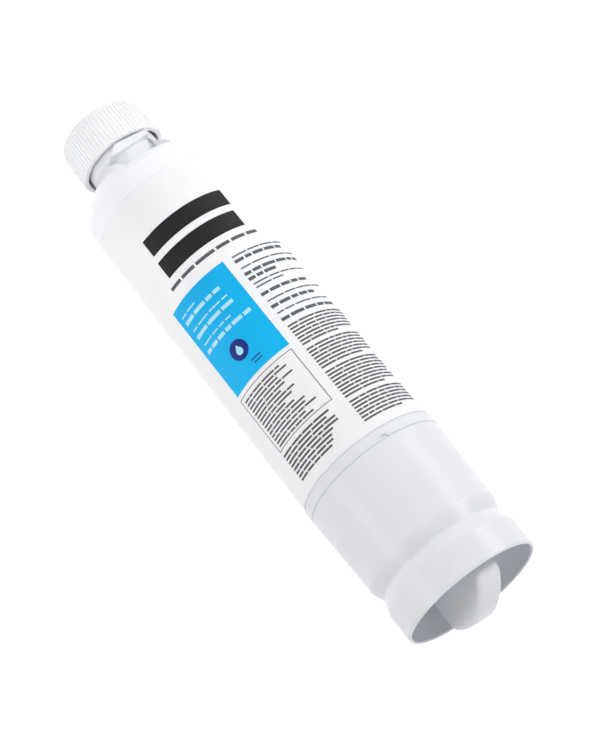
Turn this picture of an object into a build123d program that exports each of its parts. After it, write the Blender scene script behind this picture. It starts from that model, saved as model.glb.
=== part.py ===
from build123d import *
from math import pi
import os

os.makedirs("parts", exist_ok=True)

# Refrigerator water filter cartridge, standing on the flat top of its dust cap, grip end up.
# Millimetres, Z up along the cartridge's axis. The grip and the two bayonet lugs face along Y.

# Barrel
BODY_R = 28.0            # barrel radius, the size all other barrel radii follow
WALL = 2.4               # moulded wall of the housing
BORE_DRAFT = 0.2         # how much the wall thins towards the seam
CORNER_UP = 2.5          # slope in the barrel's inner corner, along the axis
CORNER_IN = 2.0          # the same across the axis

# Dust cap
CAP_H = 16.6             # dust cap height
CAP_WALL = 1.7           # wall of the dust cap
CAP_TOP = 1.8            # thickness of its flat top
CAP_GAP = 1.3            # free room between the neck and the cap's rim
CAP_DRAFT = 0.6          # how much narrower the cap is at its flat top
CAP_ROUND = 1.2          # rounding around the flat top
CAP_BREAK = 0.35         # middle of that rounding
RIM_BREAK = 0.4          # broken edge of the cap's rim
CAP_OVERLAP = 3.1        # how far the rim reaches over the neck
CAP_RIBS = 72            # finger ribs around the cap
RIB_H = 0.35             # how far a rib stands out
RIB_ROOT = 0.3           # how deep it is rooted in the wall
RIB_START = 2.0          # from the flat top to the ribs
RIB_END = 1.2            # from the ribs to the rim
RIB_FOOT = 0.60          # width of a rib's foot, as a share of the pitch
RIB_CREST = 0.26         # width of its crest, as a share of the pitch
SLEEVE_GAP = 1.0         # free room between the nozzle and the cap's inner sleeve
SLEEVE_WALL = 1.2        # wall of that sleeve

# Neck, lugs and shoulder
NECK_R = 14.8            # bayonet neck radius
NECK_CHAMFER = 0.5       # lead-in edge of the neck
NECK_FLOOR = 2.3         # solid neck above the lugs
LUG_CLEAR = 0.3          # from the cap's rim to the lugs
LUG_FLAT = 15.6          # flat outer face of the lugs, from the axis
LUG_H = 4.8              # lug height along the axis
LUG_W = 19.2             # lug width across the neck
LUG_OFF = 1.6            # how far its middle lies off the grip's plane
LUG_RAMP = 5.2           # slant of its lead-in end
LUG_TILT = 2.4           # slope of its locking edge
LUG_EDGE = 0.4           # rounding of its flat face
LUG_ROOT = 0.64          # where it is rooted in the neck, as a share of the neck's radius
POCKET_R = 13.9          # round floor behind the lug, from the axis
POCKET_H = 10.3          # free height behind each lug
POCKET_SIDE = 0.6        # how far the pocket is wider than the lug at each end
SWEEP_RISE = 1.68        # from the lugs' foot to where the shoulder leaves the neck
DOME_H = 13.1            # from the lugs' top to the end of the domed shoulder
DOME_CURVE = ((0.086, 0.19), (0.297, 0.356), (0.609, 0.577), (0.863, 0.828))  # shares out and up
DOME_END = (0.5, 0.86)   # direction in which the shoulder meets the barrel

# Label and collar
LAND_H = 8.0             # bare barrel between shoulder and label
LAND_STEP = 0.4          # how far it lies inside the barrel radius
LAND_DRAFT = 0.02        # its draft
LABEL_H = 130.7          # label height
LABEL_T = 0.2            # label thickness
LABEL_GLUE = 0.03        # adhesive under the label
LABEL_SINK = 0.55        # how far the label's seat lies inside the barrel radius at the neck end
LABEL_DRAFT = 0.6        # how much wider that seat is at the seam end
LABEL_STEP = 0.3         # slope from the land to the seat
LABEL_MARGIN = 0.3       # free seat at each end of the label
LABEL_JOINT = 1.2        # open angle at the label's butt joint
COLLAR_H = 4.6           # bare collar between label and seam
COLLAR_PROUD = 0.6       # how far it stands out past the barrel radius
COLLAR_STEP = 0.5        # slope from the seat to the collar
SEAM_BEVEL = 0.3         # bevel at the seam
NOTCH_OFF = 2.3          # how far the index notch lies off the grip's plane
NOTCH_W = 1.6            # half its width
NOTCH_H = 1.2            # half its height
NOTCH_DEPTH = 0.7        # its depth
NOTCH_DROP = 0.5         # its middle, from the seam

# Base cap
LOWER_H = 33.4           # straight part of the base cap
LOWER_STEP = 0.3         # how far it ends inside the barrel radius
LOWER_EVEN = 8.0         # length of it without draft
LOWER_ROUND = 0.6        # softened corner at its end
LOWER_SEAM = 0.1         # how far it lies inside the collar at the seam
WAIST_H = 5.2            # taper down to the waist
WAIST_IN = 2.4           # how far the waist lies inside the barrel radius
WAIST_FLAT = 0.12        # flat that softens the waist
FLARE_H = 4.8            # flare back out to the skirt
FLARE_ROUND = 1.2        # softened corner from the flare to the skirt, along the axis
FLARE_SINK = 0.2         # how far that corner lies inside the skirt
SKIRT_H = 12.5           # skirt from the flare to the rim
SKIRT_STEP = 0.4         # how far it lies inside the barrel radius
SKIRT_WALL = 1.5         # wall of the skirt
RIM_UP = 1.0             # rounding of the skirt's rim, along the axis
RIM_IN = 0.7             # the same across the axis
RIM_MID = 0.35           # middle of that rounding
CUP_DEPTH = 14.6         # depth of the cup in the skirt
CUP_FLOOR = 2.6          # thickness of its floor
CUP_ROUND = 1.6          # rounding around its floor
CUP_DRAFT = 0.1          # draft of its wall, to each side of the middle
FLOOR_CORNER = 1.5       # slope in the corner inside the base cap
SOFT = 0.5               # larger softened corner of the outline
SOFT_FINE = 0.3          # smaller softened corner of the outline
SOFT_SINK = 0.15         # how far a softened corner lies inside the sharp one
PLUG_H = 6.0             # plug of the base cap in the barrel
PLUG_FIT = 0.15          # its clearance
PLUG_WALL = 1.7          # its wall

# Grip
GRIP_T = 10.0            # grip thickness
GRIP_HALF = 21.0         # half the grip's length
GRIP_PROUD = 8.7         # how far the crown stands above the rim
GRIP_EDGE = 2.0          # rounding of the grip's edges
GRIP_CORNER = 4.0        # rounding of the crown's two ends
GRIP_ROOT = 1.0          # how deep the grip is rooted in the cup's floor
CROWN_ROUND = 1.7        # crown radius, as a share of half the grip's length
CORE_WALL = 2.4          # wall of the grip around its core
CORE_REACH = 1.35        # length of the core, as a share of half the grip's length
CORE_ROUND = 1.2         # rounding of the core's corners
CORE_TOP = 7.0           # solid crown above the core

# Nozzle, its sealing rings and the spigot's socket
NOZZLE_R = 11.6          # large step of the nozzle
NOZZLE_CHAMFER = 0.6     # lead-in edges of both steps
TIP_R = 6.0              # small tip of the nozzle
TIP_H = 4.57             # its height
TIP_GAP = 1.1            # free room between the tip and the cap's flat top
BORE_R = 2.6             # outlet bore
INLET_R = 1.0            # inlet channels around it
INLETS = 6               # how many
INLET_WALL = 0.2         # from the socket's tube to a channel
HUB_STEP = 0.4           # how far the hollow in the neck is wider than the nozzle
NOZZLE_RING = 2.4        # section of the large sealing ring
NOZZLE_SINK = 0.71       # how much of it lies in its groove, as a share
TIP_RING = 1.8           # section of the small sealing ring
TIP_SINK = 0.72          # how much of it lies in its groove, as a share
RING_SHIFT = 0.3         # how far both grooves lie above the middle of their steps
RING_CLEAR = 0.02        # from a groove's floor to its ring
GROOVE_PLAY = 0.2        # how far a groove is wider than its ring
SOCKET_FLOOR = 2.5       # from the nozzle's step to the socket's floor
SOCKET_WIDE = 2.6        # how far the socket is wider than the outlet bore
TUBE_WALL = 1.7          # wall of the socket's tube
TUBE_SHORT = 1.4         # how far the tube ends before the barrel

# Filter element
ELEMENT_GAP = 0.6        # room for water between the filter element and the base cap
ELEMENT_TOP = 2.0        # room for water between the element and the housing's inner face
ELEMENT_SEAT = 6.4       # height of the ribs that carry the element
SEATS = 4                # how many
SEAT_T = 2.0             # thickness of those ribs
SEAT_ROOT = 0.5          # how deep they are rooted in the floor
SEAT_REACH = 0.5         # their length, as a share of the block's radius
SEAT_PLACE = 0.72        # their middle, as a share of the block's radius
NET_T = 0.7              # netting thickness
NET_FIT = 0.05           # from the netting to the end caps' skirts
WRAP_T = 1.1             # nonwoven wrap thickness
END_CAP_T = 2.2          # thickness of the element's end caps
END_CAP_SKIRT = 5.2      # height of an end cap with its skirt
END_CAP_LIP = 0.25       # thickness of that skirt
BLOCK_BORE = 6.0         # carbon block bore radius
SPIGOT_FIT = 0.25        # clearance of the spigot in its socket
SPIGOT_LEAD = 0.8        # lead-in end of the spigot, along the axis
SPIGOT_LEAD_IN = 0.55    # the same across the axis
SPIGOT_RING = 1.04       # section of the spigot's ring
SPIGOT_GROOVE = 0.85     # depth of its groove
SPIGOT_GROOVE_H = 1.5    # height of its groove
SPIGOT_RING_AT = 0.225   # its place, as a share of the spigot's length

OVERCUT = 1.0            # how far a cut runs past the face that it opens

# Heights that follow from them
z_lug = CAP_H + LUG_CLEAR
z_lug_top = z_lug + LUG_H
z_pocket = z_lug_top + POCKET_H
z_hub = z_lug_top + NECK_FLOOR
z_sweep = z_lug + SWEEP_RISE
z_shoulder = z_lug_top + DOME_H
z_label = z_shoulder + LAND_H
z_label_end = z_label + LABEL_H
z_seam = z_label_end + COLLAR_H
z_taper = z_seam + LOWER_H
z_waist = z_taper + WAIST_H
z_flare = z_waist + FLARE_H
z_rim = z_flare + SKIRT_H
z_cup = z_rim - CUP_DEPTH
z_floor = z_cup - CUP_FLOOR
z_crown = z_rim + GRIP_PROUD
z_tip = CAP_TOP + TIP_GAP
z_step = z_tip + TIP_H
z_neck = CAP_H - CAP_OVERLAP
z_nozzle_ring = (z_step + z_neck) / 2 + RING_SHIFT
z_tip_ring = (z_tip + z_step) / 2 + RING_SHIFT
z_ceiling = z_pocket + WALL
z_tube = z_ceiling - TUBE_SHORT
z_socket = z_step + SOCKET_FLOOR
z_el_a = z_ceiling + ELEMENT_TOP
z_el_b = z_floor - ELEMENT_SEAT
z_spigot_ring = z_socket + SPIGOT_RING_AT * (z_el_a - z_socket)
block_h = z_el_b - z_el_a - 2 * END_CAP_T

# Radii that follow from them
r_land = BODY_R - LAND_STEP
r_label_a = BODY_R - LABEL_SINK
r_label_b = r_label_a + LABEL_DRAFT
r_collar = BODY_R + COLLAR_PROUD
r_in_a = r_label_a - WALL
r_in_b = r_label_b - WALL + BORE_DRAFT
r_socket = BORE_R + SOCKET_WIDE
r_spigot = r_socket - SPIGOT_FIT
r_spigot_groove = r_spigot - SPIGOT_GROOVE
r_tube = r_socket + TUBE_WALL
r_hub = NOZZLE_R + HUB_STEP
r_nozzle_groove = NOZZLE_R - NOZZLE_SINK * NOZZLE_RING
r_tip_groove = TIP_R - TIP_SINK * TIP_RING
r_plug = r_in_b - PLUG_FIT
r_base_in = r_plug - PLUG_WALL
r_lower = BODY_R - LOWER_STEP
r_skirt = BODY_R - SKIRT_STEP
r_cup = r_skirt - SKIRT_WALL
r_waist = BODY_R - WAIST_IN
r_waist_in = r_waist - WALL
r_element = r_waist_in - ELEMENT_GAP
r_net = r_element - END_CAP_LIP - NET_FIT
r_wrap = r_net - NET_T
r_block = r_wrap - WRAP_T
r_cap = NECK_R + CAP_GAP + CAP_WALL
r_cap_top = r_cap - CAP_DRAFT
r_sleeve = NOZZLE_R + SLEEVE_GAP

# One finger rib of the cap, following the cap's draft
rib_pitch = 2 * pi * r_cap / CAP_RIBS
foot = RIB_FOOT * rib_pitch / 2
crest = RIB_CREST * rib_pitch / 2
cap_slope = CAP_DRAFT / (CAP_H - CAP_ROUND - RIM_BREAK)
with BuildPart() as cap_rib:
    for z in (RIB_START, CAP_H - RIB_END):
        face_r = r_cap_top + cap_slope * (z - CAP_ROUND)
        with BuildSketch(Plane.XY.offset(z)):
            with BuildLine():
                Polyline(
                    (face_r - RIB_ROOT, -foot),
                    (face_r + RIB_H, -crest),
                    (face_r + RIB_H, crest),
                    (face_r - RIB_ROOT, foot),
                    close=True,
                )
            make_face()
    loft(ruled=True)

# Dust cap: ribbed skirt, flat top and an inner sleeve around the nozzle's sealing ring
with BuildPart() as dust_cap:
    with BuildSketch(Plane.XZ):
        with BuildLine():
            Polyline(
                (0, 0),
                (r_cap_top - CAP_ROUND, 0),
                (r_cap_top - CAP_BREAK, CAP_BREAK),
                (r_cap_top, CAP_ROUND),
                (r_cap, CAP_H - RIM_BREAK),
                (r_cap - RIM_BREAK, CAP_H),
                (r_cap - CAP_WALL, CAP_H),
                (r_cap_top - CAP_WALL, CAP_TOP),
                (r_sleeve + SLEEVE_WALL, CAP_TOP),
                (r_sleeve + SLEEVE_WALL, z_neck),
                (r_sleeve, z_neck),
                (r_sleeve, CAP_TOP),
                (0, CAP_TOP),
                close=True,
            )
        make_face()
    revolve(axis=Axis.Z)
    with PolarLocations(0, CAP_RIBS):
        add(cap_rib.part)

# The room behind one bayonet lug, with a round floor and a sloping locking edge
lug_left = LUG_OFF - LUG_W / 2
lug_right = LUG_OFF + LUG_W / 2
with BuildPart() as lug_pocket:
    with BuildSketch(Plane.XZ):
        with BuildLine():
            Polyline(
                (lug_left - POCKET_SIDE, z_lug_top - LUG_TILT),
                (lug_right + POCKET_SIDE, z_lug_top),
                (lug_right + POCKET_SIDE, z_pocket),
                (lug_left - POCKET_SIDE, z_pocket),
                close=True,
            )
        make_face()
    extrude(amount=BODY_R)
    with BuildSketch(Plane.XY):
        Circle(POCKET_R)
    extrude(amount=z_pocket + OVERCUT, mode=Mode.SUBTRACT)

# One bayonet lug: a flat-faced block with a slanted lead-in end and softened outer edges
lug_root = LUG_ROOT * NECK_R
with BuildPart() as bayonet_lug:
    with BuildSketch(Plane.XZ.offset(lug_root)):
        with BuildLine():
            Polyline(
                (lug_left, z_lug),
                (lug_right - LUG_RAMP, z_lug),
                (lug_right, z_lug_top),
                (lug_left, z_lug_top - LUG_TILT),
                close=True,
            )
        make_face()
    extrude(amount=LUG_FLAT - lug_root)
    fillet(bayonet_lug.faces().sort_by(Axis.Y)[0].edges(), LUG_EDGE)

# Housing: barrel, shoulder, neck and nozzle in one turned outline
with BuildPart() as housing:
    with BuildSketch(Plane.XZ):
        with BuildLine():
            Polyline(
                (BORE_R, z_tip),
                (TIP_R - NOZZLE_CHAMFER, z_tip),
                (TIP_R, z_tip + NOZZLE_CHAMFER),
                (TIP_R, z_step),
                (NOZZLE_R - NOZZLE_CHAMFER, z_step),
                (NOZZLE_R, z_step + NOZZLE_CHAMFER),
                (NOZZLE_R, z_neck),
                (NECK_R - NECK_CHAMFER, z_neck),
                (NECK_R, z_neck + NECK_CHAMFER),
                (NECK_R, z_sweep),
            )
            out = r_land - NECK_R
            up = z_shoulder - z_sweep
            Spline(
                (NECK_R, z_sweep),
                *[(NECK_R + a * out, z_sweep + b * up) for a, b in DOME_CURVE],
                (r_land, z_shoulder),
                tangents=((0, 1), DOME_END),
            )
            Polyline(
                (r_land, z_shoulder),
                (r_land + LAND_DRAFT, z_label - LABEL_STEP),
                (r_label_a, z_label),
                (r_label_b, z_label_end),
                (r_collar, z_label_end + COLLAR_STEP),
                (r_collar, z_seam - SEAM_BEVEL),
                (r_collar - SEAM_BEVEL, z_seam),
                (r_in_b, z_seam),
                (r_in_a, z_ceiling + CORNER_UP),
                (r_in_a - CORNER_IN, z_ceiling),
                (r_hub, z_ceiling),
                (r_hub, z_hub),
                (r_tube, z_hub),
                (r_tube, z_tube),
                (r_socket, z_tube),
                (r_socket, z_socket),
                (BORE_R, z_socket),
                (BORE_R, z_tip),
            )
        make_face()
    revolve(axis=Axis.Z)
    # grooves for the two sealing rings
    with BuildSketch(Plane.XZ):
        with Locations((NOZZLE_R, z_nozzle_ring)):
            Rectangle(2 * (NOZZLE_R - r_nozzle_groove), NOZZLE_RING + GROOVE_PLAY)
        with Locations((TIP_R, z_tip_ring)):
            Rectangle(2 * (TIP_R - r_tip_groove), TIP_RING + GROOVE_PLAY)
    revolve(axis=Axis.Z, mode=Mode.SUBTRACT)
    # inlet channels from the nozzle's step into the barrel
    with BuildSketch(Plane.XY.offset(z_step - OVERCUT)):
        with PolarLocations(r_tube + INLET_R + INLET_WALL, INLETS):
            Circle(INLET_R)
    extrude(amount=z_hub - z_step + 2 * OVERCUT, mode=Mode.SUBTRACT)
    # pockets behind the lugs, then the lugs with their slanted lead-in ends
    with PolarLocations(0, 2):
        add(lug_pocket.part, mode=Mode.SUBTRACT)
    with PolarLocations(0, 2):
        add(bayonet_lug.part)
    # index notch at the seam
    with BuildSketch(Plane.XZ.offset(r_collar - NOTCH_DEPTH)):
        with Locations((NOTCH_OFF, z_seam - NOTCH_DROP)):
            Ellipse(NOTCH_W, NOTCH_H)
    extrude(amount=NOTCH_DEPTH + OVERCUT, mode=Mode.SUBTRACT)

# Turning grip with a round crown
crown_r = CROWN_ROUND * GRIP_HALF
z_grip = z_cup - GRIP_ROOT
z_grip_end = z_crown - GRIP_HALF * GRIP_HALF / (2 * crown_r)
with BuildPart() as grip:
    with BuildSketch(Plane.YZ):
        with BuildLine():
            Line((-GRIP_HALF, z_grip), (GRIP_HALF, z_grip))
            Line((GRIP_HALF, z_grip), (GRIP_HALF, z_grip_end))
            ThreePointArc((GRIP_HALF, z_grip_end), (0, z_crown), (-GRIP_HALF, z_grip_end))
            Line((-GRIP_HALF, z_grip_end), (-GRIP_HALF, z_grip))
        make_face()
    extrude(amount=GRIP_T / 2, both=True)
    fillet(grip.edges().filter_by(Axis.X).group_by(Axis.Z)[-1], GRIP_CORNER)
    rims = grip.faces().filter_by(Axis.X).edges() - grip.faces().sort_by(Axis.Z)[0].edges()
    fillet(rims, GRIP_EDGE)

# Base cap: lower barrel, waist, skirt cup and turning grip in one moulding
with BuildPart() as base_cap:
    with BuildSketch(Plane.XZ):
        with BuildLine():
            Polyline(
                (0, z_cup),
                (r_cup - CUP_ROUND, z_cup),
                (r_cup - SOFT, z_cup + SOFT),
                (r_cup - CUP_DRAFT, z_cup + CUP_ROUND),
                (r_cup + CUP_DRAFT, z_rim - SOFT),
                (r_cup + SOFT, z_rim),
                (r_skirt - RIM_IN, z_rim),
                (r_skirt - SOFT_SINK, z_rim - RIM_MID),
                (r_skirt, z_rim - RIM_UP),
                (r_skirt, z_flare + FLARE_ROUND),
            )
            Polyline(
                (r_skirt, z_flare + FLARE_ROUND),
                (r_skirt - FLARE_SINK, z_flare + SOFT_FINE),
                (r_waist + WAIST_FLAT, z_waist + SOFT),
                (r_waist + WAIST_FLAT, z_waist - SOFT_FINE),
                (r_lower - SOFT_SINK, z_taper + SOFT_FINE),
                (r_lower, z_taper - LOWER_ROUND),
                (r_lower, z_taper - LOWER_EVEN),
                (r_collar - LOWER_SEAM, z_seam + SEAM_BEVEL),
                (r_collar - LOWER_SEAM - SEAM_BEVEL, z_seam),
                (r_plug, z_seam),
                (r_plug, z_seam - PLUG_H + SOFT),
                (r_plug - SOFT, z_seam - PLUG_H),
                (r_base_in, z_seam - PLUG_H),
                (r_waist_in, z_floor - FLOOR_CORNER),
                (r_waist_in - FLOOR_CORNER, z_floor),
                (0, z_floor),
                (0, z_cup),
            )
        make_face()
    revolve(axis=Axis.Z)
    add(grip.part)
    # the grip is cored from inside, as a thick moulding is
    with BuildSketch(Plane.XY.offset(z_floor - OVERCUT)):
        RectangleRounded(GRIP_T - 2 * CORE_WALL, CORE_REACH * GRIP_HALF, CORE_ROUND)
    extrude(amount=z_crown - CORE_TOP - z_floor + OVERCUT, mode=Mode.SUBTRACT)
    # ribs inside that carry the filter element
    with BuildSketch(Plane.XY.offset(z_el_b)):
        with PolarLocations(SEAT_PLACE * r_block, SEATS, start_angle=180 / SEATS):
            Rectangle(SEAT_REACH * r_block, SEAT_T)
    extrude(amount=ELEMENT_SEAT + SEAT_ROOT)

# Label film, with its butt joint at the back
label_slope = LABEL_DRAFT / LABEL_H
label_ra = r_label_a + label_slope * LABEL_MARGIN + LABEL_GLUE
label_rb = r_label_b - label_slope * LABEL_MARGIN + LABEL_GLUE
with BuildPart() as label:
    with BuildSketch(Plane.YZ):
        with BuildLine():
            Polyline(
                (label_ra, z_label + LABEL_MARGIN),
                (label_ra + LABEL_T, z_label + LABEL_MARGIN),
                (label_rb + LABEL_T, z_label_end - LABEL_MARGIN),
                (label_rb, z_label_end - LABEL_MARGIN),
                close=True,
            )
        make_face()
    revolve(axis=Axis.Z, revolution_arc=360 - LABEL_JOINT)

# Sealing rings
with BuildPart() as nozzle_o_ring:
    with BuildSketch(Plane.XZ):
        with Locations((r_nozzle_groove + RING_CLEAR + NOZZLE_RING / 2, z_nozzle_ring)):
            Circle(NOZZLE_RING / 2)
    revolve(axis=Axis.Z)

with BuildPart() as tip_o_ring:
    with BuildSketch(Plane.XZ):
        with Locations((r_tip_groove + RING_CLEAR + TIP_RING / 2, z_tip_ring)):
            Circle(TIP_RING / 2)
    revolve(axis=Axis.Z)

# Filter element: block, wrap, net and its two end caps
with BuildPart() as upper_end_cap:
    with BuildSketch(Plane.XZ):
        with BuildLine():
            Polyline(
                (BORE_R, z_socket),
                (r_spigot - SPIGOT_LEAD_IN, z_socket),
                (r_spigot, z_socket + SPIGOT_LEAD),
                (r_spigot, z_el_a),
                (r_element, z_el_a),
                (r_element, z_el_a + END_CAP_SKIRT),
                (r_element - END_CAP_LIP, z_el_a + END_CAP_SKIRT),
                (r_element - END_CAP_LIP, z_el_a + END_CAP_T),
                (BORE_R, z_el_a + END_CAP_T),
                close=True,
            )
        make_face()
    revolve(axis=Axis.Z)
    with BuildSketch(Plane.XZ):
        with Locations((r_spigot, z_spigot_ring)):
            Rectangle(2 * SPIGOT_GROOVE, SPIGOT_GROOVE_H)
    revolve(axis=Axis.Z, mode=Mode.SUBTRACT)

with BuildPart() as spigot_o_ring:
    with BuildSketch(Plane.XZ):
        with Locations((r_spigot_groove + RING_CLEAR + SPIGOT_RING / 2, z_spigot_ring)):
            Circle(SPIGOT_RING / 2)
    revolve(axis=Axis.Z)

with BuildPart() as lower_end_cap:
    with BuildSketch(Plane.XZ):
        with BuildLine():
            Polyline(
                (0, z_el_b),
                (r_element, z_el_b),
                (r_element, z_el_b - END_CAP_SKIRT),
                (r_element - END_CAP_LIP, z_el_b - END_CAP_SKIRT),
                (r_element - END_CAP_LIP, z_el_b - END_CAP_T),
                (0, z_el_b - END_CAP_T),
                close=True,
            )
        make_face()
    revolve(axis=Axis.Z)

with BuildPart() as carbon_block:
    with BuildSketch(Plane.XY.offset(z_el_a + END_CAP_T)):
        Circle(r_block)
        Circle(BLOCK_BORE, mode=Mode.SUBTRACT)
    extrude(amount=block_h)

with BuildPart() as prefilter_wrap:
    with BuildSketch(Plane.XY.offset(z_el_a + END_CAP_T)):
        Circle(r_wrap)
        Circle(r_block, mode=Mode.SUBTRACT)
    extrude(amount=block_h)

with BuildPart() as wrap_net:
    with BuildSketch(Plane.XY.offset(z_el_a + END_CAP_T)):
        Circle(r_net)
        Circle(r_wrap, mode=Mode.SUBTRACT)
    extrude(amount=block_h)

housing.part.label = "housing"
base_cap.part.label = "base_cap"
label.part.label = "label"
dust_cap.part.label = "dust_cap"
nozzle_o_ring.part.label = "nozzle_o_ring"
tip_o_ring.part.label = "tip_o_ring"
carbon_block.part.label = "carbon_block"
prefilter_wrap.part.label = "prefilter_wrap"
wrap_net.part.label = "wrap_net"
upper_end_cap.part.label = "upper_end_cap"
lower_end_cap.part.label = "lower_end_cap"
spigot_o_ring.part.label = "spigot_o_ring"

export_step(housing.part, "parts/housing.step")
export_step(base_cap.part, "parts/base_cap.step")
export_step(label.part, "parts/label.step")
export_step(dust_cap.part, "parts/dust_cap.step")
export_step(nozzle_o_ring.part, "parts/nozzle_o_ring.step")
export_step(tip_o_ring.part, "parts/tip_o_ring.step")
export_step(carbon_block.part, "parts/carbon_block.step")
export_step(prefilter_wrap.part, "parts/prefilter_wrap.step")
export_step(wrap_net.part, "parts/wrap_net.step")
export_step(upper_end_cap.part, "parts/upper_end_cap.step")
export_step(lower_end_cap.part, "parts/lower_end_cap.step")
export_step(spigot_o_ring.part, "parts/spigot_o_ring.step")
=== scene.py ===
import math
import random
import bmesh
import bpy
from mathutils import Matrix, Vector


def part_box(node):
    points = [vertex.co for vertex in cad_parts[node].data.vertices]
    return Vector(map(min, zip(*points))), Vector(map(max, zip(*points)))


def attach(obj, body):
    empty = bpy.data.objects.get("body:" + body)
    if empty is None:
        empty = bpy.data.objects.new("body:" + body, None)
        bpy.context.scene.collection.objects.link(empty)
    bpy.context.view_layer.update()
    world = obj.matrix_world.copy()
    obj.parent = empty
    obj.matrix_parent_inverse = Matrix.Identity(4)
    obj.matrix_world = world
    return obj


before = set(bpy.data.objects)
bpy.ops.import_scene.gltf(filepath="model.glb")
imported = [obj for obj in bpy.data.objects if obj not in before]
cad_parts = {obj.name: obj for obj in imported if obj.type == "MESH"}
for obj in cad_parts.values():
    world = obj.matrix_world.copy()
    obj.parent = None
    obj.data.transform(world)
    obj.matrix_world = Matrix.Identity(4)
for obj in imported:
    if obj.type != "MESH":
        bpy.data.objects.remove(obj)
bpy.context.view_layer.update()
scene = bpy.context.scene
scene.view_settings.view_transform = "Standard"
MM = 0.001

# Camera at the photograph's viewing angle, rolled as the photograph is
RIGHT = Vector((-0.797302, -0.142406, 0.586541))
DOWN = Vector((0.442033, 0.523940, 0.728075))
AHEAD = Vector((-0.410994, 0.839766, -0.354790))
CAMERA_PLACE = Vector((0.338027, -0.693059, 0.422599))
SENSOR_WIDTH = 36.0
LENS = 108.444
cam_data = bpy.data.cameras.new("camera")
cam_data.sensor_width = SENSOR_WIDTH
cam_data.lens = LENS
cam = bpy.data.objects.new("camera", cam_data)
scene.collection.objects.link(cam)
turned = Matrix((RIGHT, -DOWN, -AHEAD)).transposed().to_4x4()
cam.matrix_world = Matrix.Translation(CAMERA_PLACE) @ turned
scene.camera = cam

# Colours
BODY_WHITE = (0.745, 0.757, 0.78)
# Painted light: the housing is the base cap's plastic, given a lighter white at its neck end where light
# falls brighter on it
HOUSING_PAINTED_LIGHT_WHITE = (0.885, 0.895, 0.91)
CAP_WHITE = (0.95, 0.952, 0.957)
FILM_WHITE = (0.865, 0.867, 0.87)
RUBBER_DARK = (0.012, 0.012, 0.013)
RUBBER_DUST = (0.035, 0.035, 0.036)
CARBON_DARK = (0.008, 0.008, 0.009)
CARBON_LIGHT = (0.05, 0.05, 0.052)
FIBRE_DARK = (0.66, 0.66, 0.63)
FIBRE_LIGHT = (0.86, 0.86, 0.84)
INK_BLACK = (0.006, 0.006, 0.007)
INK_GREY = (0.095, 0.095, 0.10)
INK_TEAL = (0.085, 0.105, 0.115)
PANEL_A = (0.0, 0.42, 0.79)
PANEL_B = (0.0, 0.46, 0.86)
PALE_INK = (0.42, 0.74, 0.84)
NAVY_INK = (0.004, 0.02, 0.20)

# Texture scales, and the sizes that the materials share
CLOUD_SCALE = 38.0
SMEAR_SCALE = 120.0
SCREEN_SCALE = 900.0
GLOSS_SCALE = 260.0
DUST_SCALE = 300.0
GRIT_SCALE = 1400.0
STRAND_SCALE = 700.0
PLASTIC_IOR = 1.49
GRAIN_STRENGTH = 0.25
INK_SPECULAR = 0.18
INK_ROUGH = 0.45
PANEL_ROUGH = 0.42
PANEL_SHADE = (0.088, 0.128)     # heights between which the panel's colour changes
# Painted light: between these heights the housing fades from its lighter neck-end white to the body white
HOUSING_PAINTED_LIGHT_HEIGHTS = (0.05, 0.09)     # heights between which the housing's white changes

# Sockets of a mix node that is set to colours
MIX_FACTOR, MIX_A, MIX_B, MIX_RESULT = 0, 6, 7, 2


# Materials
def new_material(name):
    mat = bpy.data.materials.new(name)
    mat.use_nodes = True
    tree = mat.node_tree
    return mat, tree, tree.nodes["Principled BSDF"]


def noise(tree, scale, detail, rough=0.5):
    coord = tree.nodes.new("ShaderNodeTexCoord")
    tex = tree.nodes.new("ShaderNodeTexNoise")
    tex.inputs["Scale"].default_value = scale
    tex.inputs["Detail"].default_value = detail
    tex.inputs["Roughness"].default_value = rough
    tree.links.new(coord.outputs["Object"], tex.inputs["Vector"])
    return tex.outputs["Fac"]


def ramp(tree, source, stops):
    node = tree.nodes.new("ShaderNodeValToRGB")
    elements = node.color_ramp.elements
    while len(elements) < len(stops):
        elements.new(0.5)
    for element, (place, colour) in zip(elements, stops):
        element.position = place
        element.color = (*colour, 1.0)
    tree.links.new(source, node.inputs["Fac"])
    return node.outputs["Color"]


def bump(tree, shader, height, strength, distance):
    node = tree.nodes.new("ShaderNodeBump")
    node.inputs["Strength"].default_value = strength
    node.inputs["Distance"].default_value = distance
    tree.links.new(height, node.inputs["Height"])
    tree.links.new(node.outputs["Normal"], shader.inputs["Normal"])


def span(tree, source, low, high):
    node = tree.nodes.new("ShaderNodeMapRange")
    node.inputs["To Min"].default_value = low
    node.inputs["To Max"].default_value = high
    tree.links.new(source, node.inputs["Value"])
    return node.outputs["Result"]


def along_axis(tree, low, high):
    """0 to 1 along the cartridge's axis, between two heights in metres."""
    coord = tree.nodes.new("ShaderNodeTexCoord")
    split = tree.nodes.new("ShaderNodeSeparateXYZ")
    tree.links.new(coord.outputs["Object"], split.inputs["Vector"])
    node = tree.nodes.new("ShaderNodeMapRange")
    node.inputs["From Min"].default_value = low
    node.inputs["From Max"].default_value = high
    tree.links.new(split.outputs["Z"], node.inputs["Value"])
    return node.outputs["Result"]


def shade(colour, factor, lift=0.0):
    return tuple(min(1.0, c * factor + lift) for c in colour)


def clouded(tree, cloud, colour):
    return ramp(tree, cloud, [(0.35, shade(colour, 0.985)), (0.68, shade(colour, 1.012))])


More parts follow.
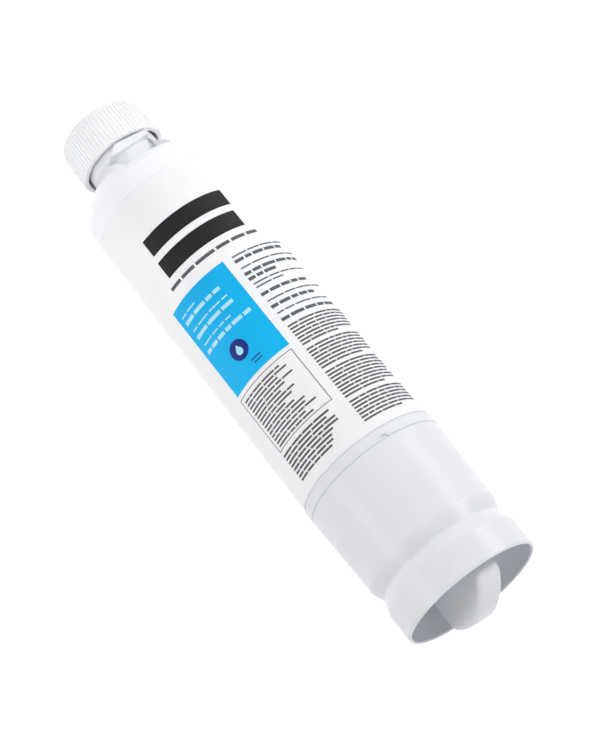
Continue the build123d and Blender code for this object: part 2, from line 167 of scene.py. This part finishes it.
def moulded(name, colour, rough, grain, grain_depth, far=None, heights=None):
    """Moulded plastic: faint cloudy tone, handling sheen and a fine tool grain.
    Where a far colour is given, the tone goes over to it along the axis."""
    mat, tree, shader = new_material(name)
    cloud = noise(tree, CLOUD_SCALE, 3.0)
    tone = clouded(tree, cloud, colour)
    if far is not None:
        mix = tree.nodes.new("ShaderNodeMix")
        mix.data_type = "RGBA"
        tree.links.new(along_axis(tree, *heights), mix.inputs[MIX_FACTOR])
        tree.links.new(tone, mix.inputs[MIX_A])
        tree.links.new(clouded(tree, cloud, far), mix.inputs[MIX_B])
        tone = mix.outputs[MIX_RESULT]
    tree.links.new(tone, shader.inputs["Base Color"])
    smear = noise(tree, SMEAR_SCALE, 4.0, 0.6)
    tree.links.new(span(tree, smear, rough * 0.82, rough * 1.2), shader.inputs["Roughness"])
    bump(tree, shader, noise(tree, grain, 2.0), GRAIN_STRENGTH, grain_depth)
    shader.inputs["IOR"].default_value = PLASTIC_IOR
    return mat


def printed(name, colour, rough, far=None, heights=None):
    """Ink on the label film, with a faint screen or, where a far colour is given, a shade along the axis."""
    mat, tree, shader = new_material(name)
    if far is None:
        speck = noise(tree, SCREEN_SCALE, 2.0)
        tone = ramp(tree, speck, [(0.3, colour), (0.75, shade(colour, 1.08, 0.002))])
    else:
        tone = ramp(tree, along_axis(tree, *heights), [(0.0, colour), (1.0, far)])
    tree.links.new(tone, shader.inputs["Base Color"])
    gloss = noise(tree, GLOSS_SCALE, 3.0)
    tree.links.new(span(tree, gloss, rough * 0.85, rough * 1.15), shader.inputs["Roughness"])
    shader.inputs["Specular IOR Level"].default_value = INK_SPECULAR
    return mat


def rubber(name):
    mat, tree, shader = new_material(name)
    dust = noise(tree, DUST_SCALE, 4.0, 0.65)
    tree.links.new(ramp(tree, dust, [(0.4, RUBBER_DARK), (0.75, RUBBER_DUST)]), shader.inputs["Base Color"])
    shader.inputs["Roughness"].default_value = 0.62
    bump(tree, shader, dust, 0.2, 0.00005)
    return mat


def carbon(name):
    mat, tree, shader = new_material(name)
    grit = noise(tree, GRIT_SCALE, 6.0, 0.7)
    tree.links.new(ramp(tree, grit, [(0.35, CARBON_DARK), (0.7, CARBON_LIGHT)]), shader.inputs["Base Color"])
    shader.inputs["Roughness"].default_value = 0.9
    bump(tree, shader, grit, 0.8, 0.0003)
    return mat


def fibres(name):
    mat, tree, shader = new_material(name)
    strand = noise(tree, STRAND_SCALE, 8.0, 0.75)
    tree.links.new(ramp(tree, strand, [(0.3, FIBRE_DARK), (0.7, FIBRE_LIGHT)]), shader.inputs["Base Color"])
    shader.inputs["Roughness"].default_value = 0.95
    shader.inputs["Sheen Weight"].default_value = 0.3
    bump(tree, shader, strand, 0.6, 0.0002)
    return mat


# moulded: name, colour, roughness, grain scale, grain depth
node_material = {
    # Painted light: the housing's white is lighter towards the neck end and fades to the base cap's white
    # along the axis
    "housing": moulded("housing_white_painted_light", HOUSING_PAINTED_LIGHT_WHITE, 0.33, 1500.0, 0.00002, BODY_WHITE, HOUSING_PAINTED_LIGHT_HEIGHTS),
    "base_cap": moulded("base_cap_white", BODY_WHITE, 0.33, 1500.0, 0.00002),
    "dust_cap": moulded("dust_cap_white", CAP_WHITE, 0.36, 1200.0, 0.00003),
    "label": moulded("label_film", FILM_WHITE, 0.33, 2200.0, 0.000008),
    "upper_end_cap": moulded("end_cap_white", BODY_WHITE, 0.45, 1000.0, 0.00004),
    "lower_end_cap": moulded("end_cap_white_b", BODY_WHITE, 0.45, 1000.0, 0.00004),
    "wrap_net": moulded("net_white", CAP_WHITE, 0.50, 700.0, 0.0001),
    "prefilter_wrap": fibres("nonwoven"),
    "carbon_block": carbon("bonded_carbon"),
    "nozzle_o_ring": rubber("seal_rubber"),
    "tip_o_ring": rubber("seal_rubber_b"),
    "spigot_o_ring": rubber("seal_rubber_c"),
}
for node_name, material in node_material.items():
    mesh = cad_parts[node_name].data
    mesh.materials.clear()
    mesh.materials.append(material)

# The label's outer face, in millimetres: its two ends give the slight draft that the print follows
label_low, label_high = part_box("label")
LABEL_Z0 = label_low[2] / MM
LABEL_Z1 = label_high[2] / MM
LABEL_R0 = 27.68
LABEL_R1 = 28.28
LABEL_MEAN_R = 28.0
INK_UNDER = 0.004        # gap between the film and the ink
INK_OVER = 0.030         # top of the ink
STEP_DEG = 2.0           # largest step of a field around the label


def surface(az, z, lift):
    """Point on the label: az in degrees from the -Y side towards +X, z in mm."""
    r = LABEL_R0 + (LABEL_R1 - LABEL_R0) * (z - LABEL_Z0) / (LABEL_Z1 - LABEL_Z0) + lift
    a = math.radians(az)
    return Vector((r * math.sin(a), -r * math.cos(a), z)) * MM


def degrees_of(mm):
    return math.degrees(mm / LABEL_MEAN_R)


def column_field(bm, columns, lift=0.0):
    """A closed thin field of ink. columns: (az, z low, z high) from one side to the other."""
    rows = []
    for az, low, high in columns:
        rows.append([
            bm.verts.new(surface(az, low, INK_UNDER + lift)),
            bm.verts.new(surface(az, high, INK_UNDER + lift)),
            bm.verts.new(surface(az, high, INK_OVER + lift)),
            bm.verts.new(surface(az, low, INK_OVER + lift)),
        ])
    for a, b in zip(rows, rows[1:]):
        for k in range(4):
            m = (k + 1) % 4
            bm.faces.new((a[k], b[k], b[m], a[m]))
    bm.faces.new(rows[0])
    bm.faces.new(list(reversed(rows[-1])))


def field(bm, az_a, az_b, z_a, z_b, lift=0.0):
    """A rectangle of ink."""
    low, high = sorted((az_a, az_b))
    count = max(1, math.ceil((high - low) / STEP_DEG))
    columns = []
    for i in range(count + 1):
        columns.append((low + (high - low) * i / count, z_a, z_b))
    column_field(bm, columns, lift)


def words(bm, az_left, az_right, z, height, shortest, longest, gap, lift=0.0):
    """One line of plain bars, read from left to right, which is towards falling az."""
    az = az_left
    while az - degrees_of(shortest) > az_right:
        bar = degrees_of(rng.uniform(shortest, longest))
        end = max(az - bar, az_right)
        field(bm, az, end, z, z + height, lift)
        az = end - degrees_of(gap)


def text_block(bm, az_left, ends, z, pitch, height, gap):
    """Fine lines over each other. ends: each line's right edge, and how far it may stray from it."""
    for i, (edge, stray) in enumerate(ends):
        right = edge + stray * rng.random()
        words(bm, az_left, right, z + pitch * i, height, FINE_SHORT, FINE_LONG, gap)


def across(steps):
    """Places from side to side of a round shape, closer together at its sides."""
    return [-math.cos(math.pi * i / steps) * ROUND_TRIM for i in range(steps + 1)]


def finish_print(bm, name, material):
    bmesh.ops.recalc_face_normals(bm, faces=bm.faces[:])
    mesh = bpy.data.meshes.new(name)
    bm.to_mesh(mesh)
    bm.free()
    mesh.materials.append(material)
    obj = bpy.data.objects.new(name, mesh)
    scene.collection.objects.link(obj)
    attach(obj, "cartridge")


FINE_SHORT = 2.0         # shortest and longest bar of a fine line
FINE_LONG = 8.0
ROUND_TRIM = 0.9985      # keeps the outermost column of a round shape from closing to a line
rng = random.Random(11)
black = bmesh.new()
grey = bmesh.new()
teal = bmesh.new()
blue = bmesh.new()
pale = bmesh.new()
navy = bmesh.new()

# Two heavy bars in the headline's place, and a thin broken line under them
field(black, 55.0, -22.0, 60.2, 67.6)
field(black, 56.0, -19.5, 70.6, 78.2)
words(grey, 61.0, -25.0, 81.2, 1.4, 3.0, 9.0, 0.9)

# Colour panel with pale bars: height, bar height, left and right edge of each line
field(blue, 75.5, 15.8, 87.6, 128.8)
for z, height, left, right in (
    (91.9, 0.55, 70.4, 51.7), (94.2, 1.5, 70.4, 29.7), (98.8, 0.55, 69.0, 25.4),
    (101.2, 1.5, 70.0, 27.7), (105.7, 0.55, 69.0, 36.1), (108.2, 1.5, 71.0, 21.7),
):
    words(pale, left, right, z, height, 2.5, 7.0, 0.8, INK_OVER)
words(navy, 45.5, 31.0, 124.0, 0.45, 2.5, 5.0, 0.5, INK_OVER)
words(navy, 44.0, 33.0, 125.4, 0.45, 2.5, 5.0, 0.5, INK_OVER)

# A plain disc on the panel, with a drop on it
DISC_AZ = 47.6
DISC_Z = 117.8
DISC_R = 3.95
DISC_STEPS = 32
columns = []
for x in across(DISC_STEPS):
    arc = DISC_R * math.sqrt(1.0 - x * x)
    columns.append((DISC_AZ + degrees_of(DISC_R) * x, DISC_Z - arc, DISC_Z + arc))
column_field(navy, columns, INK_OVER)
DROP_R = 1.45
DROP_Z = DISC_Z + 0.6
DROP_TIP = 2.7
DROP_SIDE = DROP_R * 0.51    # where the drop's straight sides meet its round end
DROP_REACH = 0.86            # half the width of those sides, as a share of the radius
DROP_STEPS = 24
columns = []
for x in across(DROP_STEPS):
    arc = DROP_R * math.sqrt(1.0 - x * x)
    reach = max(0.0, 1.0 - abs(x) / DROP_REACH)
    top = max(arc, DROP_SIDE + (DROP_TIP - DROP_SIDE) * reach) if reach > 0.0 else arc
    columns.append((DISC_AZ + degrees_of(DROP_R) * x, DROP_Z - top, DROP_Z + arc))
column_field(pale, columns, 2.0 * INK_OVER)

# Column of short facts, fine lines and heavier ones: height and right edge of each line
for z, right in (
    (88.1, -44.0), (93.8, -47.0), (101.6, -44.0), (103.3, -22.0), (110.2, -47.0), (116.2, -44.0),
):
    words(teal, 8.4, right, z, 0.6, 3.0, 8.0, 0.55)
for z, right in (
    (89.9, -40.0), (96.2, -46.0), (98.7, -18.0), (106.4, -36.0), (112.6, -38.0), (118.9, -50.0),
):
    words(teal, 9.0, right, z, 1.35, 2.5, 6.0, 0.7)

# Four blocks of fine lines on the right, each with a short last line
FULL_LINE = (-49.0, 3.0)
LAST_LINE = (-14.0, -20.0)
for z, lines, pitch in ((122.6, 7, 1.48), (134.0, 7, 1.48), (145.2, 9, 1.46), (159.4, 7, 1.46)):
    text_block(grey, 8.6, [FULL_LINE] * (lines - 1) + [LAST_LINE], z, pitch, 0.74, 0.4)

# Ruled box with fine lines, and a block of lines beyond it
BOX_LEFT, BOX_RIGHT, BOX_Z0, BOX_Z1 = 76.2, 16.8, 130.5, 155.2
RULE = 0.26
RULE_DEG = degrees_of(RULE)
field(grey, BOX_LEFT, BOX_RIGHT, BOX_Z0, BOX_Z0 + RULE)
field(grey, BOX_LEFT, BOX_RIGHT, BOX_Z1 - RULE, BOX_Z1)
field(grey, BOX_LEFT, BOX_LEFT - RULE_DEG, BOX_Z0 + RULE, BOX_Z1 - RULE)
field(grey, BOX_RIGHT + RULE_DEG, BOX_RIGHT, BOX_Z0 + RULE, BOX_Z1 - RULE)
text_block(grey, 72.5, [(21.0, 22.0)] * 15, 132.4, 1.5, 0.7, 0.45)
text_block(grey, 76.0, [(19.0, 16.0)] * 8, 157.0, 1.55, 0.8, 0.45)

finish_print(black, "print_black", printed("ink_black", INK_BLACK, INK_ROUGH))
finish_print(grey, "print_grey", printed("ink_grey", INK_GREY, INK_ROUGH))
finish_print(teal, "print_teal", printed("ink_teal", INK_TEAL, INK_ROUGH))
finish_print(blue, "print_panel", printed("ink_panel", PANEL_A, PANEL_ROUGH, PANEL_B, PANEL_SHADE))
finish_print(pale, "print_pale", printed("ink_pale", PALE_INK, INK_ROUGH))
finish_print(navy, "print_drop", printed("ink_navy", NAVY_INK, INK_ROUGH))


# Rays that show the white background: the camera's own, reflected, or through a clear surface
def background_rays(tree):
    path = tree.nodes.new("ShaderNodeLightPath")
    seen = path.outputs["Is Camera Ray"]
    for kind in ("Is Glossy Ray", "Is Transmission Ray"):
        either = tree.nodes.new("ShaderNodeMath")
        either.operation = "MAXIMUM"
        tree.links.new(seen, either.inputs[0])
        tree.links.new(path.outputs[kind], either.inputs[1])
        seen = either.outputs[0]
    return seen


# Floor, with a glow where it is seen as the background
FLOOR_HALF = 6.0
FLOOR_GLOW = 0.55
bm = bmesh.new()
bmesh.ops.create_grid(bm, x_segments=4, y_segments=4, size=FLOOR_HALF)
floor_mesh = bpy.data.meshes.new("floor")
bm.to_mesh(floor_mesh)
bm.free()
floor = bpy.data.objects.new("floor", floor_mesh)
scene.collection.objects.link(floor)
floor_mat, tree, shader = new_material("floor_white")
shader.inputs["Base Color"].default_value = (0.86, 0.86, 0.86, 1.0)
shader.inputs["Roughness"].default_value = 0.9
shader.inputs["Specular IOR Level"].default_value = 0.0
glow = tree.nodes.new("ShaderNodeMath")
glow.operation = "MULTIPLY"
glow.inputs[1].default_value = FLOOR_GLOW
tree.links.new(background_rays(tree), glow.inputs[0])
shader.inputs["Emission Color"].default_value = (1.0, 1.0, 1.0, 1.0)
tree.links.new(glow.outputs[0], shader.inputs["Emission Strength"])
floor_mesh.materials.append(floor_mat)

# World: dim around the object and brighter overhead, plain white where it is seen as the background
SKY = [
    (0.0, (0.03, 0.03, 0.03)), (0.30, (0.07, 0.07, 0.075)),
    (0.72, (0.08, 0.08, 0.085)), (0.95, (0.85, 0.85, 0.87)),
]
SKY_STRENGTH = 2.4
world = bpy.data.worlds.new("world")
scene.world = world
world.use_nodes = True
tree = world.node_tree
coord = tree.nodes.new("ShaderNodeTexCoord")
split = tree.nodes.new("ShaderNodeSeparateXYZ")
tree.links.new(coord.outputs["Generated"], split.inputs["Vector"])
lit = tree.nodes["Background"]
tree.links.new(ramp(tree, split.outputs["Z"], SKY), lit.inputs["Color"])
lit.inputs["Strength"].default_value = SKY_STRENGTH
plain = tree.nodes.new("ShaderNodeBackground")
plain.inputs["Color"].default_value = (1.0, 1.0, 1.0, 1.0)
plain.inputs["Strength"].default_value = 1.0
pick = tree.nodes.new("ShaderNodeMixShader")
tree.links.new(background_rays(tree), pick.inputs["Fac"])
tree.links.new(lit.outputs["Background"], pick.inputs[1])
tree.links.new(plain.outputs["Background"], pick.inputs[2])
tree.links.new(pick.outputs["Shader"], tree.nodes["World Output"].inputs["Surface"])


def soft_box(name, place, aim, width, height, power):
    data = bpy.data.lights.new(name, "AREA")
    data.shape = "RECTANGLE"
    data.size = width
    data.size_y = height
    data.energy = power
    obj = bpy.data.objects.new(name, data)
    scene.collection.objects.link(obj)
    obj.visible_camera = False
    facing = (aim - place).to_track_quat("-Z", "Y").to_matrix().to_4x4()
    obj.matrix_world = Matrix.Translation(place) @ facing


def around(az, distance, height):
    a = math.radians(az)
    return Vector((distance * math.sin(a), -distance * math.cos(a), height))


# Soft boxes: name, turn from the view, distance, height, aim, width, height of the box, power
VIEW_AZ = 26.0
MIDDLE = Vector((0.0, 0.0, 0.13))
LOW = Vector((0.0, 0.0, 0.03))
for name, turn, distance, height, aim, width, tall, power in (
    ("box_left", 50.0, 0.8, 0.28, MIDDLE, 0.24, 0.56, 1.9),
    ("box_right", -70.0, 0.8, 0.28, MIDDLE, 0.24, 0.56, 2.9),
    ("box_front", 0.0, 0.7, 0.07, MIDDLE, 0.9, 0.10, 0.4),
    ("box_back", 180.0, 1.1, 0.26, MIDDLE, 1.0, 0.5, 0.4),
    ("low_left", 64.0, 0.17, 0.03, LOW, 0.14, 0.05, 0.026),
    ("low_right", -62.0, 0.17, 0.03, LOW, 0.14, 0.05, 0.030),
):
    soft_box(name, around(VIEW_AZ + turn, distance, height), aim, width, tall, power)
